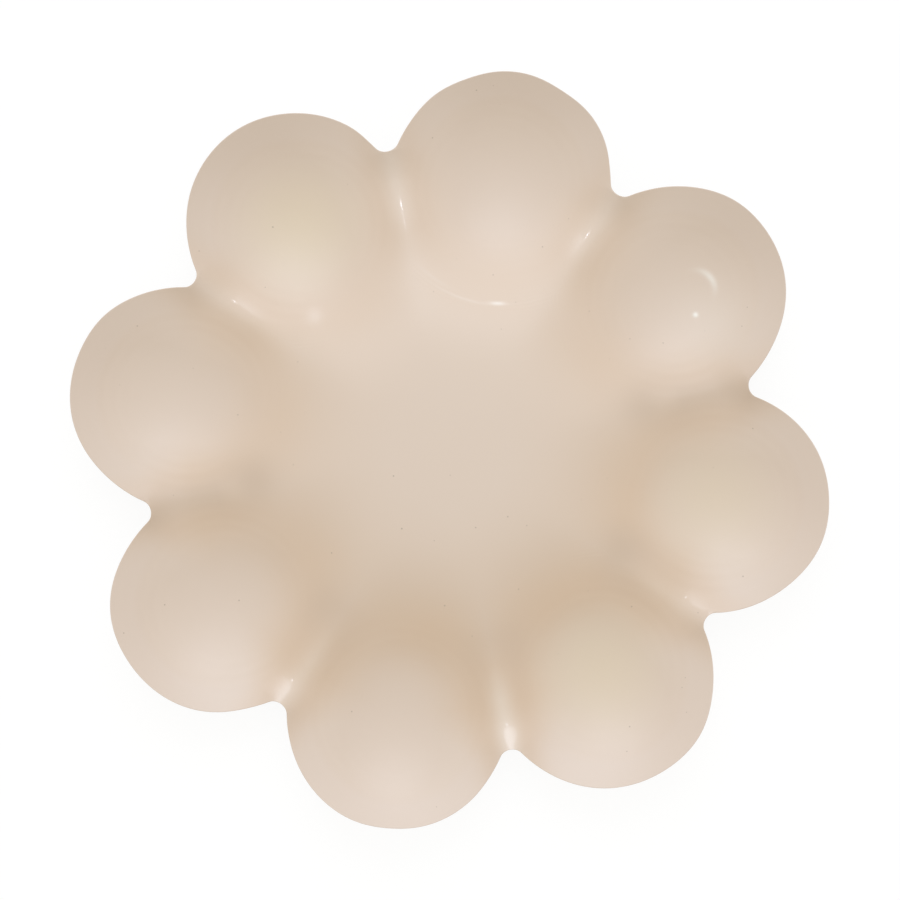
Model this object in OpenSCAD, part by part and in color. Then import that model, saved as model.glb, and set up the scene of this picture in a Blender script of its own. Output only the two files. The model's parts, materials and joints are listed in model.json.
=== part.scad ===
// Deviled egg platter in glazed ceramic: eight round wells set in a ring about a raised centre plate.
// All lengths are in millimetres. The origin is under the middle of the platter, on the table, with +Z up.
// Well 1 lies on +X and the count runs anticlockwise. Ridge 1 stands between wells 1 and 2.
// One profile, turned about each well's own axis, sets the face of every piece.
// The same profile, one wall thickness lower, sets the underside of the wells and ridges.

/* [Outline] */
// Overall width across two opposite wells
platter_d = 264; // [230:1:300]
// How far the outline circle of a well reaches past the middle of a ridge
lobe_overlap = 2.7; // [2:0.1:3.5]
// Radius of the notch between two wells at the outline
notch_r = 4.3; // [3.5:0.1:5.5]

/* [Wells] */
// Radius of the bowl of a well
bowl_r = 58; // [54:0.5:64]
// Drop from the face of the centre plate to the floor of a well
well_drop = 18.5; // [16:0.5:20]
// Radius of the shoulder that rolls from the plate into a well
shoulder_r = 80; // [70:1:90]
// Height cut from the roll at the plate, so that the flat face starts at a clean edge
shoulder_trim = 0.2; // [0.1:0.05:0.4]
// How far the shoulder arc reaches into the bowl arc, so that the two cross at a clean edge
shoulder_lap = 0.05; // [0.02:0.01:0.1]

/* [Shell] */
// Thickness of the ceramic wall
wall_t = 4.5; // [4:0.25:6]
// Depth ground off each well below, which leaves its flat foot
foot_cut = 0.5; // [0.3:0.1:1]

/* [Joints] */
// Distance from the outline circle of a well to its seam with the centre plate
seam_gap = 3.5; // [2.5:0.25:4.5]
// Length of the plate's tongue past the corner where a well meets a ridge
tongue_len = 1.6; // [1:0.1:2.5]

/* [Ridges] */
// Rounding across the crest of a ridge
crest_r = 20; // [16:0.5:26]
// Height taken off the sharp meeting line of two wells at the middle of a ridge
crest_cut = 1.3; // [1:0.05:1.4]
// Height taken off that line at the notch
crest_cut_end = 0.6; // [0.4:0.05:0.8]

/* [Hidden] */
$fn = 128;
glaze = [0.87, 0.81, 0.74];

well_count = 8;
pitch = 360 / well_count;
half_pitch = pitch / 2;

// Plan: where the wells, the ridges and the notches stand
ring_r = (platter_d / 2 - lobe_overlap) / (1 + sin(half_pitch));
half_chord = ring_r * sin(half_pitch);
lobe_r = half_chord + lobe_overlap;
seam_r = lobe_r + seam_gap;
ridge_mid = ring_r * cos(half_pitch);
notch_mid = ridge_mid + sqrt(pow(lobe_r + notch_r, 2) - pow(half_chord, 2));
notch_in = notch_mid - notch_r;
web_half = half_chord * notch_r / (lobe_r + notch_r);
corner_in = ridge_mid - sqrt(pow(seam_r, 2) - pow(half_chord - web_half, 2));
web_in = corner_in + tongue_len;

// Profile of a well: a bowl arc, and a shoulder arc that starts on it and ends at the flat of the plate
floor_z = wall_t - foot_cut;
plate_z = floor_z + well_drop;
bowl_z = floor_z + bowl_r;
roll_z = plate_z + shoulder_trim - shoulder_r;
roll_span = bowl_r + shoulder_r - shoulder_lap;
roll_x = sqrt(pow(roll_span, 2) - pow(bowl_z - roll_z, 2));
flat_x = roll_x - sqrt(pow(shoulder_r, 2) - pow(shoulder_r - shoulder_trim, 2));
plate_under_z = plate_z - wall_t;
seam_under_z = roll_z + sqrt(pow(shoulder_r - wall_t, 2) - pow(roll_x - seam_r, 2));

// Crest of a ridge: an arc through its lowest point and through the notch
function roll_height(x) = roll_z + sqrt(pow(shoulder_r, 2) - pow(roll_x - x, 2));
crest_run = notch_in - ridge_mid;
notch_x = sqrt(pow(half_chord, 2) + pow(crest_run, 2));
crest_z = roll_height(half_chord) - crest_cut;
crest_rise = roll_height(notch_x) - crest_cut_end - crest_z;
saddle_r = (pow(crest_run, 2) + pow(crest_rise, 2)) / (2 * crest_rise);

// Half section, about a well's axis, of the space above the face, or above a surface that far below it
module space_profile(below) {
    depth = bowl_r + below;
    translate([0, bowl_z])
        intersection() {
            circle(r = depth);
            translate([0, -depth])
                square([depth, depth]);
        }
    difference() {
        polygon([
            [0, bowl_z],
            [roll_x, roll_z],
            [roll_x, bowl_z]
        ]);
        translate([roll_x, roll_z])
            circle(r = shoulder_r - below);
    }
}

// That space, turned about the axis of a well
module space_above(below) {
    rotate_extrude()
        space_profile(below);
}

// Plan of one well about its own axis: round outside, the seam circle inside, and flat at both ridges
module well_plan() {
    reach = platter_d;
    apex = web_half / sin(half_pitch) - ring_r;
    intersection() {
        union() {
            circle(r = lobe_r);
            intersection() {
                circle(r = seam_r);
                translate([-seam_r, -seam_r])
                    square([seam_r, 2 * seam_r]);
            }
        }
        polygon([
            [apex, 0],
            [apex + reach * cos(half_pitch), reach * sin(half_pitch)],
            [apex + reach * cos(half_pitch), -reach * sin(half_pitch)]
        ]);
    }
}

// Plan of the centre plate: an octagon whose flats end its tongues, cut by the seam of each well
module plate_plan() {
    difference() {
        circle(r = web_in / cos(half_pitch), $fn = well_count);
        for (index = [0 : well_count - 1])
            rotate(index * pitch)
                translate([ring_r, 0])
                    well_plan();
    }
}

// Wheel above a ridge that leaves a rounded, saddle-shaped crest
module crest_void() {
    across = 2 * web_half;
    translate([ridge_mid, 0, crest_z + saddle_r])
        rotate([90, 0, 0])
            rotate_extrude()
                difference() {
                    translate([0, -across])
                        square([saddle_r + crest_r, 2 * across]);
                    translate([saddle_r + crest_r, 0])
                        circle(r = crest_r);
                }
}

module well(index) {
    color(glaze)
        rotate([0, 0, index * pitch])
            translate([ring_r, 0, 0])
                difference() {
                    intersection() {
                        space_above(wall_t);
                        linear_extrude(height = plate_z)
                            well_plan();
                    }
                    space_above(0);
                }
}

// Children at the axes of the two wells beside a ridge that lies along +X
module beside_ridge() {
    for (side = [-1, 1])
        translate([ridge_mid, side * half_chord, 0])
            children();
}

module ridge(index) {
    color(glaze)
        rotate([0, 0, index * pitch + half_pitch])
            difference() {
                intersection() {
                    translate([web_in, -web_half, 0])
                        cube([notch_mid - web_in, 2 * web_half, plate_z]);
                    beside_ridge()
                        space_above(wall_t);
                }
                beside_ridge()
                    space_above(0);
                crest_void();
                translate([notch_mid, 0, 0])
                    cylinder(h = plate_z, r = notch_r);
            }
}

module centre_plate() {
    color(glaze)
        difference() {
            translate([0, 0, seam_under_z])
                linear_extrude(height = plate_z - seam_under_z)
                    plate_plan();
            for (index = [0 : well_count - 1])
                rotate([0, 0, index * pitch])
                    translate([ring_r, 0, 0])
                        space_above(0);
            translate([0, 0, seam_under_z])
                cylinder(h = plate_under_z - seam_under_z, r1 = ring_r - seam_r, r2 = ring_r - flat_x);
        }
}

module well_1() {
    well(0);
}

module well_2() {
    well(1);
}

module well_3() {
    well(2);
}

module well_4() {
    well(3);
}

module well_5() {
    well(4);
}

module well_6() {
    well(5);
}

module well_7() {
    well(6);
}

module well_8() {
    well(7);
}

module ridge_1() {
    ridge(0);
}

module ridge_2() {
    ridge(1);
}

module ridge_3() {
    ridge(2);
}

module ridge_4() {
    ridge(3);
}

module ridge_5() {
    ridge(4);
}

module ridge_6() {
    ridge(5);
}

module ridge_7() {
    ridge(6);
}

module ridge_8() {
    ridge(7);
}

centre_plate();
well_1();
well_2();
well_3();
well_4();
well_5();
well_6();
well_7();
well_8();
ridge_1();
ridge_2();
ridge_3();
ridge_4();
ridge_5();
ridge_6();
ridge_7();
ridge_8();
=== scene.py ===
"""Deviled egg platter in cream glaze: eight round wells in a ring about a raised centre plate.

The pieces start as flat plans of the centre plate, the wells and the ridges. One node tree raises each plan
into a closed shell, so that the face runs over the seams without a step.
"""

import json
import logging
import math
from dataclasses import dataclass, field
from enum import Enum
from typing import Dict, List, Sequence, Tuple, Union

import bpy
import numpy as np
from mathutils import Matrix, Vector

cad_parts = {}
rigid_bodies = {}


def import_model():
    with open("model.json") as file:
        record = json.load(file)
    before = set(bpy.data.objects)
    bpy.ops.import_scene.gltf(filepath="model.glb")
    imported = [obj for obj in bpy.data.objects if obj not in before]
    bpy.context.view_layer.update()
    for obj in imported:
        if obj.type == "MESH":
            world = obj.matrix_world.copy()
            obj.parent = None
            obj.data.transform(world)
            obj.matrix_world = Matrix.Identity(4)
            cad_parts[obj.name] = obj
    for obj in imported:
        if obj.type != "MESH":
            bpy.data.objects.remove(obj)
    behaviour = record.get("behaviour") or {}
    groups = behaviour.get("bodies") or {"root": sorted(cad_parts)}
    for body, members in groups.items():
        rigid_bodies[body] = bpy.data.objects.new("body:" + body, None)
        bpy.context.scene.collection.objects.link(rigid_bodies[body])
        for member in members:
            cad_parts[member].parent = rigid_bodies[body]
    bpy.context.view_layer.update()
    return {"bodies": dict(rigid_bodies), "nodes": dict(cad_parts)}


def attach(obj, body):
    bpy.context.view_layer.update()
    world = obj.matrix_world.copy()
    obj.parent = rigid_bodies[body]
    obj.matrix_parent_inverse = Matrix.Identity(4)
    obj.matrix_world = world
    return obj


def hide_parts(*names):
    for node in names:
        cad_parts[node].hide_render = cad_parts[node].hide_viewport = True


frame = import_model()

Tree = bpy.types.NodeTree
Node = bpy.types.Node
Socket = bpy.types.NodeSocket
Material = bpy.types.Material
Thing = bpy.types.Object
Colour = Tuple[float, float, float]
Span = Tuple[float, float]
Number = Union[float, "Term"]

LOG = logging.getLogger("egg_platter")
MM = 0.001
TINY = 1e-6
WHITE = (1.0, 1.0, 1.0)
# Distances from the rim, in millimetres, of the last rows of points, which carry its rounding
RIM_ROWS = np.array([2.6, 1.8, 1.2, 0.8, 0.5, 0.36, 0.22, 0.1, 0.03, 0.0])


class PieceKind(Enum):
    """The three kinds of piece that the platter is formed from."""

    CENTRE = "centre_plate"
    WELL = "well"
    RIDGE = "ridge"


class Mark(Enum):
    """Point attributes that the plan or the shell leaves on a piece."""

    ASIDE = "ridge_distance"
    SIDE = "ridge_side"
    UPPER = "upper_face"
    SHOULDER = "shoulder"
    DISTANCE = "well_distance"
    BEARING = "well_bearing"
    FOOT = "foot"
    TINT = "well_tint"
    SHIFT = "hand_shift"
    NORMAL = "face_normal"

    @property
    def kind(self) -> str:
        """Data type of the attribute."""
        return "FLOAT_VECTOR" if self in (Mark.SHIFT, Mark.NORMAL) else "FLOAT"


class Term:
    """One number at every point of a node tree. Arithmetic on it adds Math nodes to the tree."""

    def __init__(self, tree: Tree, socket: Socket) -> None:
        """Wrap an output socket of a tree."""
        self.tree = tree
        self.socket = socket

    def math(self, operation: str, *others: Number) -> "Term":
        """Add one Math node.

        Args:
            operation: The node's operation.
            others: The further operands.

        Returns:
            The node's result.
        """
        node = self.tree.nodes.new("ShaderNodeMath")
        node.operation = operation
        for slot, value in zip(node.inputs, (self, *others)):
            plug(self.tree, value, slot)
        return Term(self.tree, node.outputs[0])

    def __add__(self, other: Number) -> "Term":
        """Return the sum."""
        return self.math("ADD", other)

    def __sub__(self, other: Number) -> "Term":
        """Return the difference."""
        return self.math("SUBTRACT", other)

    def __rsub__(self, other: float) -> "Term":
        """Return a number less this one."""
        return -self + other

    def __mul__(self, other: Number) -> "Term":
        """Return the product."""
        return self.math("MULTIPLY", other)

    def __truediv__(self, other: Number) -> "Term":
        """Return the quotient."""
        return self.math("DIVIDE", other)

    def __neg__(self) -> "Term":
        """Return the number with its sign changed."""
        return self * -1.0

    def least(self, other: Number) -> "Term":
        """Return the smaller of two numbers."""
        return self.math("MINIMUM", other)

    def most(self, other: Number) -> "Term":
        """Return the larger of two numbers."""
        return self.math("MAXIMUM", other)

    def clamp(self) -> "Term":
        """Return the number held between 0 and 1."""
        return self.most(0.0).least(1.0)

    def smooth(self) -> "Term":
        """Return a number from 0 to 1 with both ends eased."""
        return self * self * (3.0 - self * 2.0)

    def between(self, low: Number, high: Number) -> "Term":
        """Return one number where this is 0, another where it is 1, and a straight run between them."""
        return self * (high - low) + low

    def bell(self, centre: Number, width: Number) -> "Term":
        """Return a bell curve of height 1.

        Args:
            centre: Where the curve peaks.
            width: Half its width, near 0.6 of its height.

        Returns:
            The curve's value at this number.
        """
        away = (self - centre) / width
        return (away * away * -0.5).math("EXPONENT")

    def soft_least(self, other: "Term", blend: Number) -> Tuple["Term", "Term"]:
        """Return the smaller of two heights with a rounded meeting line.

        Args:
            other: The second height.
            blend: How broad the rounding is, as a height.

        Returns:
            The blended height, and how near the point lies to the meeting line, from 0 to 1.
        """
        spread = (self - other).math("ABSOLUTE") / blend
        sunk = ((-spread).math("EXPONENT") + 1.0).math("LOGARITHM", math.e)
        return self.least(other) - sunk * blend, sunk / math.log(2.0)


@dataclass(frozen=True)
class Bell:
    """A bell curve of height 1: where it peaks, and half its width."""

    centre: float
    width: float

    def of(self, value: Term) -> Term:
        """Return the curve's value at a number."""
        return value.bell(self.centre, self.width)


@dataclass(frozen=True)
class Ramp:
    """A straight run from 0 at its start to 1 at its end, which may lie below the start."""

    start: float
    end: float

    def of(self, value: Term) -> Term:
        """Return the ramp's value at a number."""
        return ((value - self.start) / (self.end - self.start)).clamp()


def plug(tree: Tree, value: object, slot: Socket) -> None:
    """Feed a socket from a term, another socket or a plain value.

    Args:
        tree: The tree that holds the socket.
        value: What to feed it.
        slot: The input to feed.
    """
    if isinstance(value, Term):
        value = value.socket
    if isinstance(value, Socket):
        tree.links.new(value, slot)
    else:
        slot.default_value = value


def add_node(tree: Tree, kind: str, inputs: Dict[str, object], **settings: object) -> Node:
    """Add a node and feed its named inputs.

    Args:
        tree: The tree to add to.
        kind: The node's type.
        inputs: What each named input takes.
        settings: The node's own properties.

    Returns:
        The new node.
    """
    node = tree.nodes.new(kind)
    for name, value in settings.items():
        setattr(node, name, value)
    for name, value in inputs.items():
        slot = next(s for s in node.inputs if s.name == name and s.enabled)
        plug(tree, value, slot)
    return node


def find_node(tree: Tree, kind: str) -> Node:
    """Return a tree's first node of a type."""
    return next(node for node in tree.nodes if node.type == kind)


def split(tree: Tree, vector: Socket) -> List[Term]:
    """Return the three numbers of a vector."""
    return [Term(tree, axis) for axis in add_node(tree, "ShaderNodeSeparateXYZ", {"Vector": vector}).outputs]


def length(x: Term, y: Term) -> Term:
    """Return the length of a flat step, never quite 0."""
    return (x * x + y * y + TINY).math("SQRT")


def new_tree(
    name: str, kind: str, inputs: Sequence[Tuple[str, str, object]], outputs: Sequence[Tuple[str, str]]
) -> Tuple[Tree, Node, Node]:
    """Make a node tree with a named interface.

    Args:
        name: The tree's name.
        kind: GeometryNodeTree or ShaderNodeTree.
        inputs: Name, socket type and default value of each input.
        outputs: Name and socket type of each output.

    Returns:
        The tree, its input node and its output node.
    """
    tree = bpy.data.node_groups.new(name, kind)
    for label, socket_type, default in inputs:
        socket = tree.interface.new_socket(name=label, in_out="INPUT", socket_type=socket_type)
        if default is not None:
            socket.default_value = default
    for label, socket_type in outputs:
        tree.interface.new_socket(name=label, in_out="OUTPUT", socket_type=socket_type)
    return tree, tree.nodes.new("NodeGroupInput"), tree.nodes.new("NodeGroupOutput")


def new_thing(name: str, data: bpy.types.ID) -> Thing:
    """Make an object and put it in the scene.

    Args:
        name: Its name.
        data: Its mesh, light or camera.

    Returns:
        The object.
    """
    thing = bpy.data.objects.new(name, data)
    bpy.context.scene.collection.objects.link(thing)
    return thing


@dataclass(frozen=True)
class PlatterSizes:
    """Sizes of the platter in millimetres, as its solids have them."""

    platter_d: float = 264.0
    lobe_overlap: float = 2.7
    notch_r: float = 4.3
    seam_gap: float = 3.5
    tongue_len: float = 1.6
    well_count: int = 8

    @property
    def pitch(self) -> float:
        """Angle from one well to the next."""
        return math.tau / self.well_count

    @property
    def half_pitch(self) -> float:
        """Angle from a well to the ridge beside it."""
        return self.pitch / 2

    @property
    def ring_r(self) -> float:
        """Radius of the circle that the well axes stand on."""
        return (self.platter_d / 2 - self.lobe_overlap) / (1 + math.sin(self.half_pitch))

    @property
    def half_chord(self) -> float:
        """Distance from a well's axis to the middle of a ridge."""
        return self.ring_r * math.sin(self.half_pitch)

    @property
    def lobe_r(self) -> float:
        """Radius of the outline circle of a well."""
        return self.half_chord + self.lobe_overlap

    @property
    def seam_r(self) -> float:
        """Radius of the seam between a well and the centre plate."""
        return self.lobe_r + self.seam_gap

    @property
    def ridge_mid(self) -> float:
        """Distance from the centre to the nearest point of a ridge between two well axes."""
        return self.ring_r * math.cos(self.half_pitch)

    @property
    def notch_mid(self) -> float:
        """Distance from the centre to the axis of a notch."""
        return self.ridge_mid + math.sqrt((self.lobe_r + self.notch_r) ** 2 - self.half_chord**2)

    @property
    def web_half(self) -> float:
        """Half the width of a ridge piece."""
        return self.half_chord * self.notch_r / (self.lobe_r + self.notch_r)

    @property
    def corner_in(self) -> float:
        """Distance from the centre, along a ridge, to the corner of a well and a ridge."""
        return self.ridge_mid - math.sqrt(self.seam_r**2 - (self.half_chord - self.web_half) ** 2)

    @property
    def web_in(self) -> float:
        """Distance from the centre to the inner end of a ridge piece."""
        return self.corner_in + self.tongue_len


@dataclass(frozen=True)
class ReliefSizes:
    """Heights, slopes and roundings of the shell in millimetres, and the hand-made unevenness of its face."""

    floor_z: float = 4.0
    plate_rise: float = 18.5
    plate_dome_r: float = 900.0
    plate_reach: float = 58.0
    plate_release: float = 0.0001
    bowl_r: float = 58.0
    wall_slope: float = 0.363
    outward_slope: float = 0.06
    oval_slope: float = 0.103
    flare_slope: float = 0.18
    flare_width: float = 24.0
    ridge_blend: float = 1.3
    melt_blend: float = 0.5
    melt_reach: float = 62.0
    melt_width: float = 9.0
    saddle_blend: float = 1.1
    saddle_reach: float = 96.0
    saddle_width: float = 7.0
    peak_height: float = 0.6
    peak_width: float = 4.0
    peak_reach: float = 66.0
    peak_fade: float = 16.0
    notch_lift: float = 1.6
    lift_reach: float = 95.0
    lift_width: float = 3.5
    shoulder_blend: float = 2.4
    wall: float = 4.5
    lip_round: float = 0.25
    under_round: float = 2.4
    sway: float = 0.22
    ring_depth: float = 0.02
    ring_pitch: float = 4.2
    hand_wobble: float = 0.5
    seed: float = 4.0

    def inputs(self) -> List[Tuple[str, str, float]]:
        """Return the name, socket type and value of each size as an input of a tree."""
        sizes = vars(self).items()
        return [(name.replace("_", " ").title(), "NodeSocketFloat", value) for name, value in sizes]


class TreeBuilder:
    """A Geometry Nodes tree with named inputs, and short ways to add to it."""

    def __init__(self, name: str, inputs: Sequence[tuple], outputs: Sequence[tuple]) -> None:
        """Make the tree with its interface."""
        self.tree, self.source, self.sink = new_tree(name, "GeometryNodeTree", inputs, outputs)

    def size(self, name: str) -> Term:
        """Return one of the tree's inputs as a term."""
        return Term(self.tree, self.source.outputs[name])

    def add(self, kind: str, inputs: Dict[str, object], **settings: object) -> Node:
        """Add a node and feed its named inputs."""
        return add_node(self.tree, kind, inputs, **settings)

    def emit(self, name: str, value: object) -> None:
        """Feed one of the tree's outputs."""
        plug(self.tree, value, self.sink.inputs[name])

    def noise(self, place: Socket, waves: float, detail: float, turn: float = 0.0) -> Node:
        """Add smooth noise.

        Args:
            place: Where it is read.
            waves: How many waves it has in a metre.
            detail: How much finer noise lies on it.
            turn: What tells it apart from the other noises.

        Returns:
            The noise node.
        """
        inputs = {"Vector": place, "W": self.size("Seed") + turn, "Scale": waves, "Detail": detail}
        return self.add("ShaderNodeTexNoise", inputs, noise_dimensions="4D")


class FaceTree(TreeBuilder):
    """Node group that gives the face's height and its distance from the outline at any place."""

    SHAPE = ("Height", "Edge Distance")
    MARKS = {
        Mark.ASIDE: "Ridge Distance",
        Mark.SIDE: "Ridge Side",
        Mark.SHOULDER: "Shoulder",
        Mark.DISTANCE: "Well Distance",
        Mark.BEARING: "Well Bearing",
    }
    RING_BAND = Bell(27.0, 5.0)
    RING_WAVES = 18.0
    RING_DRIFT = 5.0
    RING_TURN = 9.0
    SWAY_WAVES = 21.0

    def __init__(self, sizes: PlatterSizes, relief: ReliefSizes) -> None:
        """Build the group.

        Args:
            sizes: The platter's plan.
            relief: The shell's heights and slopes.
        """
        self.sizes = sizes
        inputs = [("Position", "NodeSocketVector", None), *relief.inputs()]
        outputs = [(name, "NodeSocketFloat") for name in (*self.SHAPE, *self.MARKS.values())]
        super().__init__("Face Height", inputs, outputs)
        self._build()

    def wave(self, place: Socket, waves: float, turn: float) -> Term:
        """Return smooth noise from about -0.5 to 0.5."""
        return Term(self.tree, self.noise(place, waves, 1.0, turn).outputs[0]) - 0.5

    def well_face(self, reach: Term, bearing: Term) -> Tuple[Term, Term, Term]:
        """Give the face of one well before it blends with its neighbours.

        Args:
            reach: Distance from the platter's centre.
            bearing: Angle from the well's axis, seen from the centre.

        Returns:
            The height above the well's floor, the distance from its axis, and the cosine of the direction
            from that axis, measured from outwards.
        """
        along = reach * bearing.math("COSINE") - self.sizes.ring_r
        distance = length(along, reach * bearing.math("SINE"))
        outward = along / distance
        oval = outward * outward * 2.0 - 1.0
        rise = self.size("Wall Slope") + self.size("Outward Slope") * outward + self.size("Oval Slope") * oval
        level = (1.0 - rise * rise).math("SQRT")
        bowl = self.size("Bowl R")
        turn_off = bowl * rise
        inner = distance.least(turn_off)
        height = bowl - (bowl * bowl - inner * inner).math("SQRT")
        height = height + (distance - turn_off).most(0.0) * rise / level
        return height, distance, outward

    def _build(self) -> None:
        """Lay out the group's nodes."""
        sizes = self.sizes
        place = self.source.outputs["Position"]
        x, y = [axis / MM for axis in split(self.tree, place)[:2]]
        reach = length(x, y)
        bearing = y.math("ARCTAN2", x)
        turn = (bearing / sizes.pitch).math("ROUND") * sizes.pitch
        near = (bearing - turn).math("ABSOLUTE")
        own, distance, outward = self.well_face(reach, near)
        other, _, _ = self.well_face(reach, sizes.pitch - near)
        ridge, _ = own.soft_least(other, self.ridge_blend(reach))
        beyond = (reach - self.size("Plate Reach")).most(0.0)
        plate = self.size("Plate Rise") - reach * reach / (self.size("Plate Dome R") * 2.0)
        plate = plate + beyond * beyond * beyond * self.size("Plate Release")
        face, shoulder = ridge.soft_least(plate, self.size("Shoulder Blend"))
        drift = self.wave(place, self.RING_WAVES, self.RING_TURN) * self.RING_DRIFT
        rings = (distance * math.tau / self.size("Ring Pitch") + drift).math("SINE")
        rings = rings * self.size("Ring Depth") * self.RING_BAND.of(distance)
        sway = self.wave(place, self.SWAY_WAVES, 0.0) * self.size("Sway") * 2.0
        aside = reach * (sizes.half_pitch - near).math("SINE")
        edge = self.edge_distance(reach, near, distance, outward)
        flare_width = self.size("Flare Width")
        inside = (1.0 - edge / flare_width).clamp()
        flare = inside * inside * inside * flare_width * self.size("Flare Slope") / 3.0
        height = face + self.crest(reach, aside) + flare + rings + sway + self.size("Floor Z")
        values = (height, edge, aside, aside * (turn - bearing).math("SIGN"), shoulder, distance, outward)
        for name, value in zip((*self.SHAPE, *self.MARKS.values()), values):
            self.emit(name, value)

    def ridge_blend(self, reach: Term) -> Term:
        """Give how broadly two wells round into each other: more near the plate and at the low of the ridge.

        Args:
            reach: Distance from the platter's centre.

        Returns:
            The blend as a height.
        """
        melt = reach.bell(self.size("Melt Reach"), self.size("Melt Width")) * self.size("Melt Blend")
        low = reach.bell(self.size("Saddle Reach"), self.size("Saddle Width")) * self.size("Saddle Blend")
        return self.size("Ridge Blend") + melt + low

    def crest(self, reach: Term, aside: Term) -> Term:
        """Give the narrow crest that the ridge carries, and its lift at the notch.

        Args:
            reach: Distance from the platter's centre.
            aside: Distance from the middle of the ridge.

        Returns:
            The height of both.
        """
        fade = ((reach - self.size("Peak Reach")) / self.size("Peak Fade")).clamp().smooth()
        peak = aside.bell(0.0, self.size("Peak Width")) * fade * self.size("Peak Height")
        lift_run = self.sizes.notch_mid - self.sizes.notch_r - self.size("Lift Reach")
        lift = ((reach - self.size("Lift Reach")) / lift_run).clamp()
        return peak + lift * lift * self.size("Notch Lift") * aside.bell(0.0, self.size("Lift Width"))

    def edge_distance(self, reach: Term, near: Term, distance: Term, outward: Term) -> Term:
        """Give the distance inwards from the outline.

        Args:
            reach: Distance from the platter's centre.
            near: Angle from the nearest well's axis, seen from the centre.
            distance: Distance from that well's axis.
            outward: Cosine of the direction from that axis, measured from the direction outwards.

        Returns:
            The distance, true near the outline.
        """
        sizes = self.sizes
        notch = sizes.notch_mid
        lean = (notch * math.cos(sizes.half_pitch) - sizes.ring_r) / (sizes.lobe_r + sizes.notch_r)
        turn = (sizes.half_pitch - near).math("COSINE")
        to_notch = (reach * reach + notch * notch - reach * turn * (2.0 * notch)).most(TINY).math("SQRT")
        by_lobe = outward.math("GREATER_THAN", lean)
        return by_lobe.between(to_notch - sizes.notch_r, sizes.lobe_r - distance)


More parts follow.
